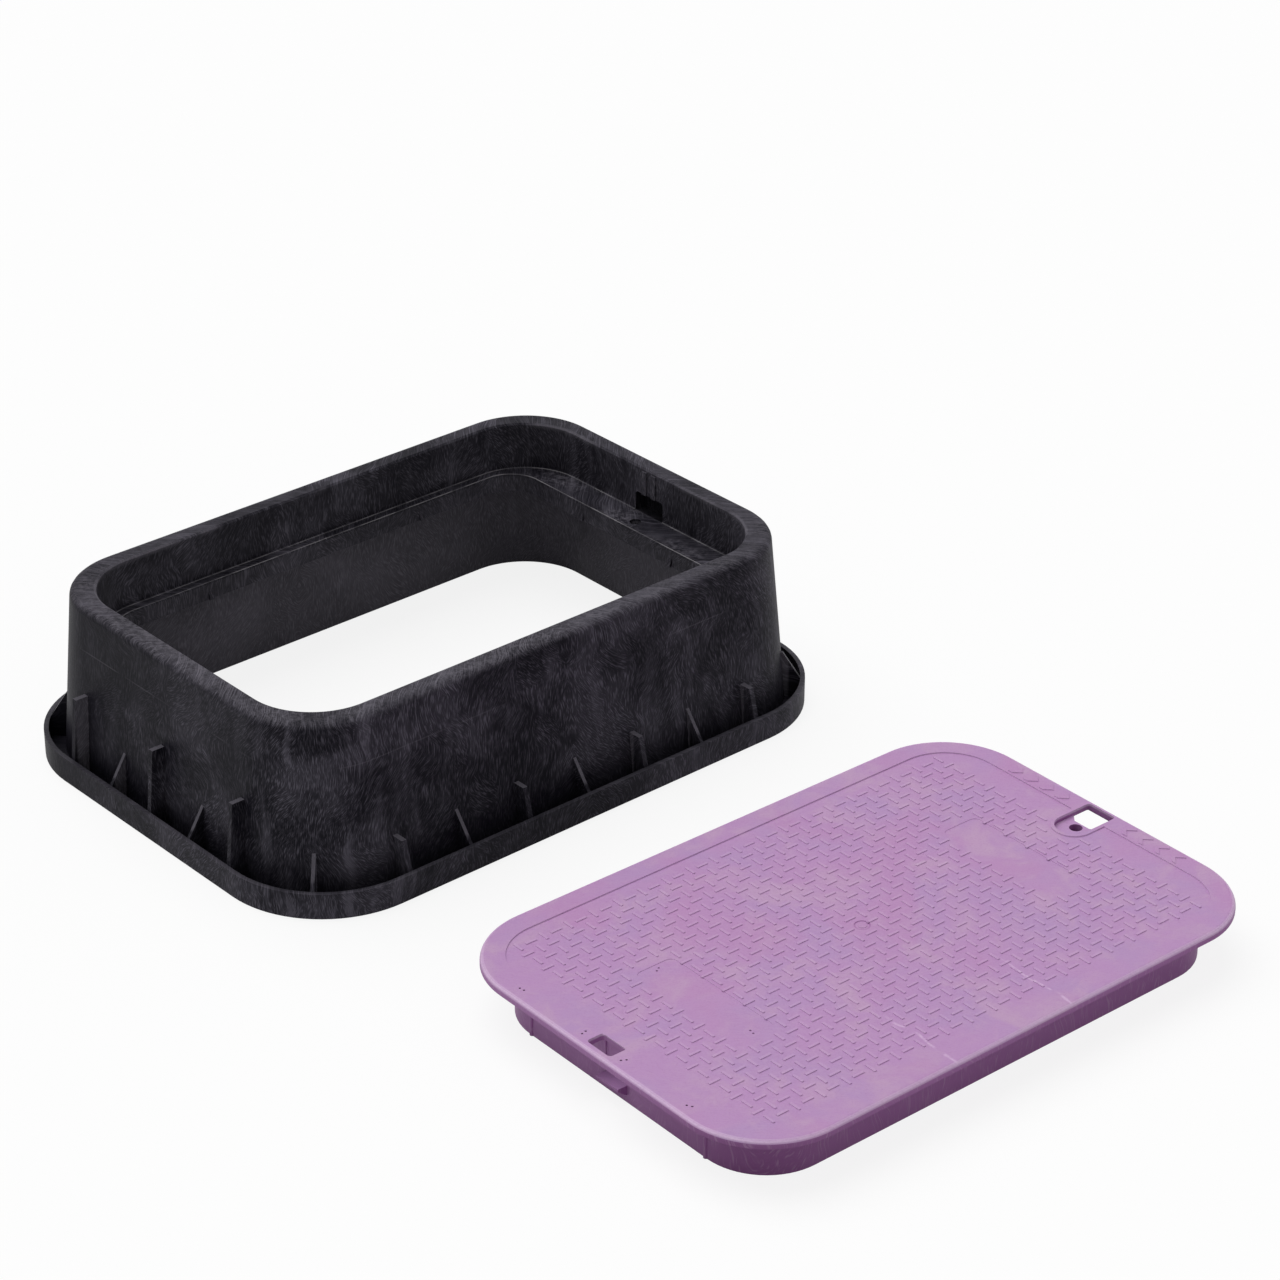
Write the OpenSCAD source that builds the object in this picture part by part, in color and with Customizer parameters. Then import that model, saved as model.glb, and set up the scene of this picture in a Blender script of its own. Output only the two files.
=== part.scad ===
// Valve box with its cover laid beside it: two plastic mouldings, millimetres, +Z up.
// The origin is under the middle of the two pieces together, on the ground.

/* [Box body] */
// Height of the body from the ground to the top of the rim
body_h = 152.4; // [140:0.1:300]
// Length over the rim
rim_l = 521; // [480:1:600]
// Width over the rim
rim_w = 347; // [320:1:420]
// Corner radius of the rim in plan
rim_r = 67; // [62:1:75]
// Width of the rim's flat top
rim_face = 18; // [16:0.5:20]
// Thickness of the rim's flat top
rim_t = 5.5; // [4:0.5:8]
// Rounding of the rim's outer edge
rim_round = 6; // [2:0.5:8]
// Thickness of the body's walls
wall_t = 4.5; // [3.5:0.1:6]
// Extra thickness of the long walls at the foot
foot_swell = 4.5; // [0:0.5:6]
// Corner radius of the inside of the body at the foot
foot_inner_r = 62; // [55:1:70]
// How far each end wall leans out between rim and foot
lean_end = 8; // [4:0.5:12]
// How far each long wall leans out between rim and foot
lean_side = 18; // [8:0.5:24]
// How much the plan corners open out between rim and foot
lean_corner = 9; // [4:0.5:12]

/* [Foot] */
// Clear width of the channel between the wall and the lip
channel_w = 12.5; // [10:0.5:18]
// Thickness of the channel's floor
floor_t = 4.5; // [3:0.5:7]
// Thickness of the upturned lip
lip_t = 4; // [3:0.5:6]
// Height of the upturned lip
lip_h = 22; // [15:0.5:30]

/* [Foot ribs] */
// Thickness of the tall ribs
rib_t = 4.5; // [3:0.5:7]
// Height of the tall ribs on the end walls
end_rib_h = 76; // [50:1:95]
// Height of the tall ribs on the long walls
side_rib_h = 47; // [35:1:80]
// Depth of a tall rib at its top
rib_top = 11.5; // [6:0.5:12]
// Distance between the tall ribs on an end wall
end_rib_gap = 106; // [90:1:110]
// Distance between the tall ribs on a long wall
side_rib_gap = 120.5; // [100:0.5:130]
// Thickness of the gussets between the tall ribs
gusset_t = 3; // [2:0.5:5]
// Height at which a gusset runs out on the wall
gusset_h = 46; // [35:1:60]

/* [Cover seat] */
// Corner radius of the opening that takes the cover
seat_r = 57; // [52:1:62]
// Depth of the ledge below the rim
seat_depth = 43; // [41:0.5:60]
// Width of the ledge at each end
ledge_end = 26.5; // [24:0.5:32]
// Width of the ledge along each side
ledge_side = 7.5; // [6:0.5:12]
// Corner radius of the ledge's inner edge
ledge_r = 29; // [20:1:40]
// Thickness of the ledge
ledge_t = 5; // [4:0.5:7]
// Depth of the apron below the top of the ledge
apron_h = 16.5; // [12:0.5:25]
// Edge break on the rim's inner edge, the ledge and the seat's root
seat_break = 1.5; // [0.5:0.1:2]
// Thickness of the webs that tie the seat to the wall
web_t = 4; // [3:0.5:6]
// Distance of the webs from the middle of a long wall
side_web_x = 111; // [70:1:150]
// Distance of the webs from the middle of an end wall
end_web_y = 57; // [40:1:100]
// Height of the small lugs on the apron in front of the webs
lug_h = 8; // [4:0.5:12]
// How far the small lugs stand out of the apron
lug_out = 2; // [1:0.5:3]

/* [Hook and bolt] */
// Width of the hook tongue
hook_w = 24; // [16:1:30]
// How far the hook tongue stands out of the skirt
hook_out = 8.7; // [7:0.1:10]
// Height of the top of the tongue above the foot of the skirt
hook_z = 14.5; // [12:0.5:18]
// Depth of the tongue where it leaves the skirt
hook_root = 8.5; // [6:0.5:10]
// Depth of the tongue at its tip
hook_tip = 2; // [1.5:0.5:4]
// How far the skirt is set back above the tongue
hook_back = 1; // [0.5:0.1:1.5]
// Room on each side of the tongue in the body's hook pocket
hook_play = 5.5; // [3:0.5:7]
// Room above the tongue in the body's hook pocket
hook_rise = 1; // [0.5:0.5:2]
// Depth of the hook pocket behind the seat wall
hook_deep = 10.5; // [7:0.5:11]
// Width of each guide rib over the hook pocket
hook_guide_w = 5.5; // [3:0.5:8]
// Distance between the middles of the guide ribs over the hook pocket
hook_guide_gap = 11.5; // [9:0.5:20]
// How far the guide ribs over the hook pocket stand out
hook_guide_out = 1.2; // [0.5:0.1:2]
// Diameter of the cover's bolt
bolt_d = 9.5; // [6:0.5:10]
// Distance of the bolt from the end of the rim, and from the end of the cover
bolt_in = 33.5; // [33:0.5:36]
// Clearance of the bolt in the body's ledge
ledge_bolt_play = 0.5; // [0.2:0.1:1]
// Clearance of the bolt in the cover
cover_bolt_play = 1; // [0.5:0.1:1.5]
// Wall round the bolt under the ledge and under the cover
boss_t = 3.5; // [2.5:0.5:4]
// Depth of the bolt boss below the top of the ledge
boss_deep = 16; // [10:1:30]

/* [Cover plate] */
// Thickness of the plate
plate_t = 5.5; // [4:0.5:5.5]
// Depth of the plate's downturned edge
edge_h = 6.5; // [6:0.5:9]
// Thickness of the downturned edge
edge_t = 4.4; // [3:0.1:4.5]
// Rounding of the plate's top edge
edge_round = 4; // [2:0.5:4]
// How far the plate stays back from the rim at each end
plate_back_end = 2.25; // [0:0.25:4]
// How far the plate stays back from the rim along each side
plate_back_side = 0; // [0:0.25:3]
// How much larger the plate's corner radius is than the rim's
plate_ease = 2.5; // [0:0.5:5]
// Width of the plate's raised border
border = 20.5; // [19:0.5:22]
// Depth of the tread panel below the border
panel_deep = 1; // [0.5:0.1:1.5]
// Corner radius of the tread panel
panel_r = 45; // [35:1:50]

/* [Cover skirt] */
// Height of the skirt below the plate
skirt_h = 41.3; // [36:0.1:42]
// Thickness of the skirt
skirt_t = 4; // [3:0.5:5]
// Room between the skirt and the seat at each end
end_play = 7; // [3.5:0.1:7.2]
// Room between the skirt and the seat along each side
side_play = 4.5; // [1:0.1:6]
// How much smaller the skirt's corner radius is than the seat's
corner_play = 4; // [1:0.5:10]
// Radius of the guide ribs on the skirt's ends
guide_r = 2; // [1.6:0.1:2.5]
// How far the guide ribs stand out of the skirt
guide_out = 1.4; // [0.5:0.1:1.5]
// Distance of the guide ribs from the middle of the end
guide_y = 96.5; // [60:0.5:100]
// Thickness of the stiffening ribs under the plate
stiff_t = 3; // [2:0.5:5]
// Depth of the stiffening ribs under the plate
stiff_h = 14; // [8:1:30]

/* [Lift recess and window] */
// Width of the lift recess
lift_w = 28.4; // [24:0.2:30]
// Length of the lift recess up to the middle of its round end
lift_long = 32.8; // [28:0.1:34]
// Depth of the lift recess
lift_deep = 4.5; // [3:0.5:5]
// Thickness of the floor of the lift recess
lift_floor = 5.5; // [4:0.5:8]
// Strip of plate left outside the lift recess and the window
strip_w = 4.6; // [4.5:0.1:6]
// Plain space between the lift recess and the tread, round the bolt hole
lift_clear = 12.3; // [10:0.1:16]
// Width of the raised ring round the lift recess
lift_ring = 3; // [2:0.5:4]
// Length of the lift opening
lift_open = 22.2; // [15:0.1:22.5]
// Width of the notch in the skirt at the lift opening
notch_w = 46; // [40:1:60]
// Length of the window over the hook tongue
window_l = 16; // [12:0.5:16]
// Strip of plate left outside the window
window_strip = 6; // [4.5:0.5:8]
// Width of the window over the hook tongue
window_w = 26; // [25:0.5:32]
// Corner radius of the window and the lift recess
window_r = 3; // [1:0.5:4]

/* [Tread] */
// Distance from one tread bar to the next along the cover
tread_x = 11.8; // [10:0.1:14]
// Distance from one tread bar to the next across the cover
tread_y = 11.5; // [10:0.1:14]
// How far the tread lies off the middle of the cover, towards the hook
tread_shift = -2; // [-3:0.5:0]
// Length of a tread bar
bar_l = 10; // [6:0.1:11]
// Width of a tread bar
bar_w = 2.2; // [1.2:0.1:3]
// Height of a tread bar
bar_h = 0.7; // [0.4:0.1:1]
// Length of each plain label field across the cover
field_w = 114; // [80:1:140]
// Width of each plain label field along the cover
field_l = 36; // [24:1:40]
// Corner radius of each label field
field_r = 6; // [2:1:12]
// Depth of each label field
field_deep = 0.4; // [0.2:0.1:0.8]
// Distance of each label field from the middle of the cover
field_x = 154; // [120:1:160]
// Radius of the gate mark in the middle of the cover
gate_r = 6; // [4:0.5:7]
// Depth of the gate mark
gate_deep = 0.4; // [0.2:0.1:0.6]
// Height of a raised lift arrow
arrow_h = 0.8; // [0.4:0.1:1]
// Distance from one lift arrow to the next
arrow_gap = 17; // [14:0.5:18]

/* [Placing] */
// Gap between the body's foot and the cover where they are closest
piece_gap = 124.8; // [20:0.1:300]
// How far the cover lies along the body's length
cover_x = 2.3; // [-20:0.1:20]
// Turn of the cover seen from above, in degrees
cover_turn = -1.4; // [-4:0.1:0]

/* [Hidden] */
body_colour = "#26262a";
cover_colour = "#b28cb8";
eps = 0.01;
// Facets in a quarter turn of a lofted corner
quarter = 28;
arc_steps = 5;
$fn = 96;

foot_l = rim_l + 2 * lean_end;
foot_w = rim_w + 2 * lean_side;
foot_r = rim_r + lean_corner;
base_l = foot_l + 2 * (channel_w + lip_t);
base_w = foot_w + 2 * (channel_w + lip_t);
base_r = foot_r + channel_w + lip_t;

seat_l = rim_l - 2 * rim_face;
seat_w = rim_w - 2 * rim_face;
ledge_z = body_h - seat_depth;
bolt_x = rim_l / 2 - bolt_in;
hole_l = seat_l - 2 * ledge_end;
hole_w = seat_w - 2 * ledge_side;
apron_t = wall_t - 0.5;
sink = 2;

plate_l = rim_l - 2 * plate_back_end;
plate_w = rim_w - 2 * plate_back_side;
plate_r = rim_r + plate_ease;
cover_h = skirt_h + plate_t;
skirt_l = seat_l - 2 * end_play;
skirt_w = seat_w - 2 * side_play;
skirt_r = seat_r - corner_play;
panel_l = plate_l - 2 * border;
panel_w = plate_w - 2 * border;
panel_z = cover_h - panel_deep;

// Height of the skirt's foot above the ground when the cover is seated
seated_z = body_h - (cover_h - edge_h);
hook_pocket_w = hook_w + 2 * hook_play;
hook_pocket_top = seated_z + hook_z + hook_rise;
hook_pocket_h = hook_pocket_top - ledge_z;

window_x = (window_l - plate_l) / 2 + window_strip;
cover_bolt_x = plate_l / 2 - bolt_in;
lift_end = plate_l / 2 - strip_w;
lift_x = lift_end - lift_long;
lift_floor_z = cover_h - lift_deep;

// Half sizes of the two pieces over the ground, which put the origin in the middle of both
cover_half_y = (plate_w / 2 - plate_r) * cos(cover_turn)
    + (plate_l / 2 - plate_r) * abs(sin(cover_turn)) + plate_r;
total_w = base_w + piece_gap + 2 * cover_half_y;
body_y = (total_w - base_w) / 2;
cover_y = cover_half_y - total_w / 2;

// How far the wall stands out from its place at the rim, at height z
function lean(z) = (body_h - z) / body_h;
function wall_ring(z, inset) = [
    rim_l + 2 * (lean_end * lean(z) - inset),
    rim_w + 2 * (lean_side * lean(z) - inset),
    rim_r + lean_corner * lean(z) - inset,
    z
];

// Points of a rounded rectangle given as [length, width, corner radius, height]
function ring_points(ring) = [
    for (corner = [0:3])
        for (step = [0:quarter])
            let (
                turn = 90 * (corner + step / quarter),
                side_x = (corner == 0 || corner == 3) ? 1 : -1,
                side_y = corner < 2 ? 1 : -1
            )
            [
                side_x * (ring[0] / 2 - ring[2]) + ring[2] * cos(turn),
                side_y * (ring[1] / 2 - ring[2]) + ring[2] * sin(turn),
                ring[3]
            ]
];

// Solid through a stack of rounded rectangles, from the lowest to the highest
module loft(rings) {
    count = 4 * (quarter + 1);
    last = len(rings) - 1;
    polyhedron(
        points = [for (ring = rings) each ring_points(ring)],
        faces = [
            [for (i = [0:count - 1]) i],
            for (k = [0:last - 1])
                for (i = [0:count - 1])
                    let (a = k * count + i, b = k * count + (i + 1) % count)
                    each [[a, a + count, b + count], [a, b + count, b]],
            [for (i = [count - 1:-1:0]) last * count + i]
        ],
        convexity = 6
    );
}

// Flat rounded rectangle with true arcs
module rounded(l, w, r) {
    square([l, w - 2 * r], center = true);
    square([l - 2 * r, w], center = true);
    for (x = [-1, 1], y = [-1, 1])
        translate([x * (l / 2 - r), y * (w / 2 - r)])
            circle(r = r);
}

// Upright plate whose outline is drawn as [distance out, height], running out along +X
module fin(points, t) {
    rotate([90, 0, 0])
        linear_extrude(height = t, center = true)
            polygon(points);
}

// Places its children at both ends, facing out
module at_ends() {
    for (turn = [0, 180])
        rotate([0, 0, turn])
            children();
}

// Places its children at both long sides, facing out
module at_sides() {
    for (turn = [90, 270])
        rotate([0, 0, turn])
            children();
}

// Leaning wall as a solid block, with the rim's rounded edge
module wall_block() {
    loft([
        wall_ring(0, 0),
        wall_ring(body_h - rim_round, 0),
        for (step = [1:arc_steps])
            let (
                turn = 90 * step / arc_steps,
                z = body_h - rim_round * (1 - sin(turn))
            )
            wall_ring(z, rim_round * (1 - cos(turn)))
    ]);
}

// Space inside the leaning wall, up to the underside of the rim
module wall_space() {
    foot_space_w = foot_w - 2 * (wall_t + foot_swell);
    loft([
        [foot_l - 2 * wall_t, foot_space_w, foot_inner_r, -1],
        [foot_l - 2 * wall_t, foot_space_w, foot_inner_r, 0],
        wall_ring(body_h - rim_t, wall_t)
    ]);
}

// Seat wall, ledge and apron as a solid block
module seat_block() {
    translate([0, 0, ledge_z - ledge_t])
        linear_extrude(height = seat_depth + ledge_t - rim_t + eps)
            rounded(seat_l + 2 * wall_t, seat_w + 2 * wall_t, seat_r + wall_t);
    translate([0, 0, ledge_z - apron_h])
        linear_extrude(height = apron_h)
            rounded(hole_l + 2 * apron_t, hole_w + 2 * apron_t, ledge_r + apron_t);
}

// Space that the cover's skirt goes into
module seat_space() {
    loft([
        [seat_l - 2 * seat_break, seat_w - 2 * seat_break, seat_r - seat_break, ledge_z],
        [seat_l, seat_w, seat_r, ledge_z + seat_break],
        [seat_l, seat_w, seat_r, body_h - seat_break],
        [seat_l + 2 * seat_break, seat_w + 2 * seat_break, seat_r + seat_break, body_h],
        [seat_l + 2 * seat_break, seat_w + 2 * seat_break, seat_r + seat_break, body_h + 1]
    ]);
}

// Opening inside the ledge, with its edge broken
module ledge_space() {
    loft([
        [hole_l, hole_w, ledge_r, ledge_z - apron_h - 1],
        [hole_l, hole_w, ledge_r, ledge_z - seat_break],
        [hole_l + 2 * seat_break, hole_w + 2 * seat_break, ledge_r + seat_break, ledge_z],
        [hole_l + 2 * seat_break, hole_w + 2 * seat_break, ledge_r + seat_break, ledge_z + 1]
    ]);
}

// Web between the seat and the wall: half is half the body's rim, seat or opening there
module web(half_rim, lean_out, half_seat, half_hole) {
    low = ledge_z - apron_h;
    high = body_h - rim_t + 1;
    fin([
        [half_hole + 1, low],
        [half_rim + lean_out * lean(low) - sink, low],
        [half_rim + lean_out * lean(high) - sink, high],
        [half_seat + sink, high],
        [half_seat + sink, ledge_z - sink],
        [half_hole + 1, ledge_z - sink]
    ], web_t);
}

// All the webs under the ledge
module webs() {
    for (y = [-1, 1])
        at_ends()
            translate([0, y * end_web_y, 0])
                web(rim_l / 2, lean_end, seat_l / 2, hole_l / 2);
    for (x = [-1, 1])
        at_sides()
            translate([0, x * side_web_x, 0])
                web(rim_w / 2, lean_side, seat_w / 2, hole_w / 2);
}

// Small lug at the foot of the apron, whose face is half_hole from the middle
module lug(half_hole) {
    low = ledge_z - apron_h;
    fin([
        [half_hole + 1, low],
        [half_hole + 1, low + lug_h],
        [half_hole, low + lug_h],
        [half_hole - lug_out, low + 1],
        [half_hole - lug_out, low]
    ], web_t);
}

module lugs() {
    for (y = [-1, 1])
        at_ends()
            translate([0, y * end_web_y, 0])
                lug(hole_l / 2);
    for (x = [-1, 1])
        at_sides()
            translate([0, x * side_web_x, 0])
                lug(hole_w / 2);
}

// Pair of guide ribs on the seat wall over the hook pocket
module hook_guides() {
    for (side = [-1, 1])
        translate([seat_l / 2 - hook_guide_out, side * hook_guide_gap / 2 - hook_guide_w / 2, hook_pocket_top])
            cube([hook_guide_out + 1, hook_guide_w, body_h - 2 * seat_break - hook_pocket_top]);
}

// Outline of the hook pocket, flat, with its upper corners rounded
module hook_outline(grow) {
    half = hook_pocket_w / 2 + grow;
    top = hook_pocket_h + grow;
    translate([-half, -grow])
        square([2 * half, top + grow - window_r]);
    translate([-half + window_r, -grow])
        square([2 * (half - window_r), top + grow]);
    for (side = [-1, 1])
        translate([side * (half - window_r), top - window_r])
            circle(r = window_r);
}

// Hook outline stood up across the end wall, from x on for a length of deep
module hook_prism(x, deep, grow) {
    translate([x, 0, ledge_z])
        rotate([90, 0, 90])
            linear_extrude(height = deep)
                hook_outline(grow);
}

// Closed box behind the seat wall that the hook pocket is cut into
module hook_box() {
    hook_prism(seat_l / 2 + sink, rim_face - sink - 0.5, wall_t - 0.5);
}

// Ribs in the foot's channel: tall ones, gussets between them and one gusset at each corner
module tall_rib(half_rim, lean_out, h) {
    out = half_rim + lean_out;
    fin([
        [out - sink, 0],
        [out + channel_w + 1, 0],
        [out + channel_w + 1, lip_h - 0.5],
        [out + channel_w, lip_h],
        [half_rim + lean_out * lean(h) + rib_top, h],
        [half_rim + lean_out * lean(h) - sink, h]
    ], rib_t);
}

module gusset(half_rim, lean_out) {
    out = half_rim + lean_out;
    fin([
        [out - sink, 0],
        [out + channel_w + 1, 0],
        [out + channel_w + 1, lip_h - 0.5],
        [out + channel_w, lip_h],
        [half_rim + lean_out * lean(gusset_h), gusset_h],
        [half_rim + lean_out * lean(gusset_h) - sink, gusset_h]
    ], gusset_t);
}

module foot_ribs() {
    at_ends() {
        for (i = [-1:1])
            translate([0, i * end_rib_gap, 0])
                tall_rib(rim_l / 2, lean_end, end_rib_h);
        for (i = [-0.5, 0.5])
            translate([0, i * end_rib_gap, 0])
                gusset(rim_l / 2, lean_end);
    }
    at_sides() {
        for (i = [-1.5:1:1.5])
            translate([0, i * side_rib_gap, 0])
                tall_rib(rim_w / 2, lean_side, side_rib_h);
        for (i = [-1:1])
            translate([0, i * side_rib_gap, 0])
                gusset(rim_w / 2, lean_side);
    }
    for (x = [-1, 1], y = [-1, 1])
        translate([x * (foot_l / 2 - foot_r), y * (foot_w / 2 - foot_r), 0])
            rotate([0, 0, (x > 0 ? 0 : 180) + x * y * 45])
                gusset(rim_r, lean_corner);
}

// Foot: a flat floor and an upturned lip round the wall
module foot() {
    difference() {
        linear_extrude(height = lip_h)
            rounded(base_l, base_w, base_r);
        translate([0, 0, floor_t])
            linear_extrude(height = lip_h)
                rounded(base_l - 2 * lip_t, base_w - 2 * lip_t, base_r - lip_t);
    }
}

module bolt_boss() {
    translate([bolt_x, 0, ledge_z - boss_deep])
        cylinder(d = bolt_d + ledge_bolt_play + 2 * boss_t, h = boss_deep - eps);
}

module box_body() {
    color(body_colour)
        difference() {
            union() {
                difference() {
                    union() {
                        wall_block();
                        foot();
                        foot_ribs();
                    }
                    wall_space();
                }
                difference() {
                    union() {
                        seat_block();
                        webs();
                        at_ends() {
                            hook_box();
                            bolt_boss();
                        }
                    }
                    ledge_space();
                }
                lugs();
            }
            difference() {
                seat_space();
                at_ends()
                    hook_guides();
            }
            at_ends() {
                hook_prism(seat_l / 2 - 1, hook_deep + 1, 0);
                translate([bolt_x, 0, ledge_z - boss_deep - 1])
                    cylinder(d = bolt_d + ledge_bolt_play, h = boss_deep + 2);
            }
        }
}

// Plate with its rounded top edge and its downturned edge
module plate() {
    top = cover_h;
    difference() {
        loft([
            [plate_l, plate_w, plate_r, top - edge_h],
            [plate_l, plate_w, plate_r, top - edge_round],
            for (step = [1:arc_steps])
                let (
                    turn = 90 * step / arc_steps,
                    inset = edge_round * (1 - cos(turn))
                )
                [
                    plate_l - 2 * inset,
                    plate_w - 2 * inset,
                    plate_r - inset,
                    top - edge_round * (1 - sin(turn))
                ]
        ]);
        translate([0, 0, top - edge_h - 1])
            linear_extrude(height = edge_h - plate_t + 1)
                rounded(plate_l - 2 * edge_t, plate_w - 2 * edge_t, plate_r - edge_t);
        translate([0, 0, panel_z])
            linear_extrude(height = panel_deep + 1)
                rounded(panel_l, panel_w, panel_r);
    }
}

// Skirt with its guide ribs, its hook tongue and its notch at the lift opening
module skirt() {
    difference() {
        linear_extrude(height = skirt_h + eps)
            rounded(skirt_l, skirt_w, skirt_r);
        translate([0, 0, -1])
            linear_extrude(height = skirt_h + 2)
                rounded(skirt_l - 2 * skirt_t, skirt_w - 2 * skirt_t, skirt_r - skirt_t);
        translate([skirt_l / 2 - skirt_t - 1, -notch_w / 2, -1])
            cube([skirt_t + 2, notch_w, skirt_h + 1]);
        translate([-skirt_l / 2 - 1, -hook_w / 2, hook_z])
            cube([1 + hook_back, hook_w, skirt_h]);
    }
    for (x = [-1, 1], y = [-1, 1])
        translate([x * (skirt_l / 2 + guide_out - guide_r), y * guide_y, 0])
            cylinder(r = guide_r, h = skirt_h + eps, $fn = 32);
    rotate([0, 0, 180])
        fin([
            [skirt_l / 2 - 2, hook_z],
            [skirt_l / 2 + hook_out, hook_z],
            [skirt_l / 2 + hook_out, hook_z - hook_tip],
            [skirt_l / 2, hook_z - hook_root],
            [skirt_l / 2 - 2, hook_z - hook_root]
        ], hook_w);
}

// Stiffening ribs under the plate
module stiffeners() {
    inner_l = skirt_l - 2 * skirt_t + 1;
    inner_w = skirt_w - 2 * skirt_t + 1;
    translate([0, 0, skirt_h - stiff_h]) {
        for (i = [-1:1])
            translate([-inner_l / 2, i * inner_w / 4 - stiff_t / 2, 0])
                cube([inner_l - (i == 0 ? notch_w / 2 : 0), stiff_t, stiff_h + eps]);
        for (i = [-2.5:1:2.5])
            translate([i * inner_l / 7 - stiff_t / 2, -inner_w / 2, 0])
                cube([stiff_t, inner_w, stiff_h + eps]);
    }
    for (side = [-1, 1])
        translate([skirt_l / 2 - notch_w / 2, side * (notch_w + skirt_t) / 2 - skirt_t / 2, 0])
            cube([notch_w / 2, skirt_t, skirt_h + eps]);
}

// Outline of the lift recess: round towards the middle of the cover, square towards its edge
module lift_outline(grow) {
    half = lift_w / 2 + grow;
    translate([lift_x, 0])
        circle(r = half);
    translate([lift_x, -half])
        square([lift_end - lift_x - window_r, 2 * half]);
    translate([lift_x, -half + window_r])
        square([lift_end - lift_x, 2 * (half - window_r)]);
    for (side = [-1, 1])
        translate([lift_end - window_r, side * (half - window_r)])
            circle(r = window_r);
}

// Part of the lift recess that goes right through, with the inner corners cut off
module lift_opening() {
    half = lift_w / 2;
    corner = half * 0.45;
    intersection() {
        lift_outline(0);
        polygon([
            [lift_end - lift_open, -half + corner],
            [lift_end - lift_open + corner, -half - 1],
            [lift_end + 1, -half - 1],
            [lift_end + 1, half + 1],
            [lift_end - lift_open + corner, half + 1],
            [lift_end - lift_open, half - corner]
        ]);
    }
}

// Floor and wall of the lift recess, with the column that the bolt runs through
module lift_cup() {
    intersection() {
        translate([0, 0, lift_floor_z - lift_floor])
            linear_extrude(height = lift_floor + lift_deep)
                lift_outline(lift_ring);
        translate([0, -lift_w, 0])
            cube([lift_end - lift_open + boss_t, 2 * lift_w, cover_h]);
    }
    translate([0, 0, panel_z - eps])
        intersection() {
            linear_extrude(height = panel_deep + eps)
                lift_outline(lift_ring);
            translate([0, -lift_w])
                cube([panel_l / 2 + 1, 2 * lift_w, panel_deep + eps]);
        }
    translate([cover_bolt_x, 0, 0])
        cylinder(d = bolt_d + cover_bolt_play + 2 * boss_t - 1, h = lift_floor_z - eps);
}

// True where the tread leaves room for a label field, the lift recess or the gate mark
function plain_at(x, y) =
    (abs(abs(x) - field_x) < field_l / 2 && abs(y) < field_w / 2 + 2)
    || norm([x - cover_bolt_x, y]) < lift_w / 2 + lift_clear
    || norm([x, y]) < gate_r + 2;

// Tread of bars laid alternately along and across the cover
module tread() {
    columns = floor((panel_l / 2 - 20) / tread_x);
    rows = floor((panel_w / 2 - 12) / tread_y);
    for (i = [-columns:columns])
        for (j = [-rows:rows])
            let (x = i * tread_x + tread_shift, y = j * tread_y)
                if (!plain_at(x, y))
                    translate([x, y])
                        square((i + j) % 2 == 0 ? [bar_w, bar_l] : [bar_l, bar_w], center = true);
}

module arrow() {
    wing = 6;
    stroke = 3;
    polygon([
        [0, 0],
        [wing, wing],
        [wing, wing + stroke * 1.5],
        [0, stroke * 1.5],
        [-wing, wing + stroke * 1.5],
        [-wing, wing]
    ]);
}

// Plain arrows on the border that point at the lift recess from both sides
module lift_arrows() {
    middle = (panel_l / 2 + plate_l / 2 - edge_round) / 2;
    for (side = [0, 1])
        mirror([0, side])
            for (i = [0:3])
                translate([middle, lift_w + i * arrow_gap])
                    arrow();
}

// Pin marks left by the mould, as [x, y, turn] of each pair of dots
module pin_marks() {
    edge_x = (panel_l + plate_l - edge_round) / 4;
    end = field_w / 2 - 5.5;
    for (mark = [
        [-edge_x, guide_y - 4, 100], [-edge_x, 22, 12], [-edge_x, -22, -30],
        [-edge_x, 4 - guide_y, 120], [-field_x, end, 30], [-field_x, -end, 80]
    ])
        translate([mark[0], mark[1], mark[0] < -panel_l / 2 ? cover_h : panel_z])
            rotate([0, 0, mark[2]])
                for (x = [-2, 2])
                    translate([x, 0, -0.8])
                        cylinder(d = 1.8, h = 2, $fn = 16);
}

// Ring left where the plastic ran into the mould
module gate_mark() {
    translate([0, 0, panel_z - gate_deep])
        difference() {
            cylinder(r = gate_r, h = 1);
            translate([0, 0, -1])
                cylinder(r = gate_r * 0.6, h = 3);
        }
}

module cover_piece() {
    difference() {
        union() {
            plate();
            skirt();
            stiffeners();
            lift_cup();
            translate([0, 0, cover_h - eps])
                linear_extrude(height = arrow_h + eps)
                    lift_arrows();
        }
        translate([0, 0, lift_floor_z])
            linear_extrude(height = lift_deep + 2)
                lift_outline(0);
        translate([0, 0, -1])
            linear_extrude(height = cover_h + 2)
                lift_opening();
        translate([window_x, 0, cover_h - plate_t - 1])
            linear_extrude(height = plate_t + 2)
                rounded(window_l, window_w, window_r);
        translate([cover_bolt_x, 0, -1])
            cylinder(d = bolt_d + cover_bolt_play, h = cover_h);
        for (x = [-field_x, field_x])
            translate([x, 0, panel_z - field_deep])
                linear_extrude(height = 1)
                    rounded(field_l, field_w, field_r);
        pin_marks();
        gate_mark();
    }
    translate([0, 0, panel_z - eps])
        linear_extrude(height = bar_h + eps)
            tread();
}

module box_body_placed() {
    translate([0, body_y, 0])
        box_body();
}

module cover() {
    color(cover_colour)
        translate([cover_x, cover_y, 0])
            rotate([0, 0, cover_turn])
                cover_piece();
}

box_body_placed();  // box_body
cover();
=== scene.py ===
"""Valve box with its cover laid beside it: finishes, floor, light and camera."""

from math import cos, radians, sin

import bpy
from bpy.props import FloatProperty, FloatVectorProperty, PointerProperty
from mathutils import Matrix, Vector


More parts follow.
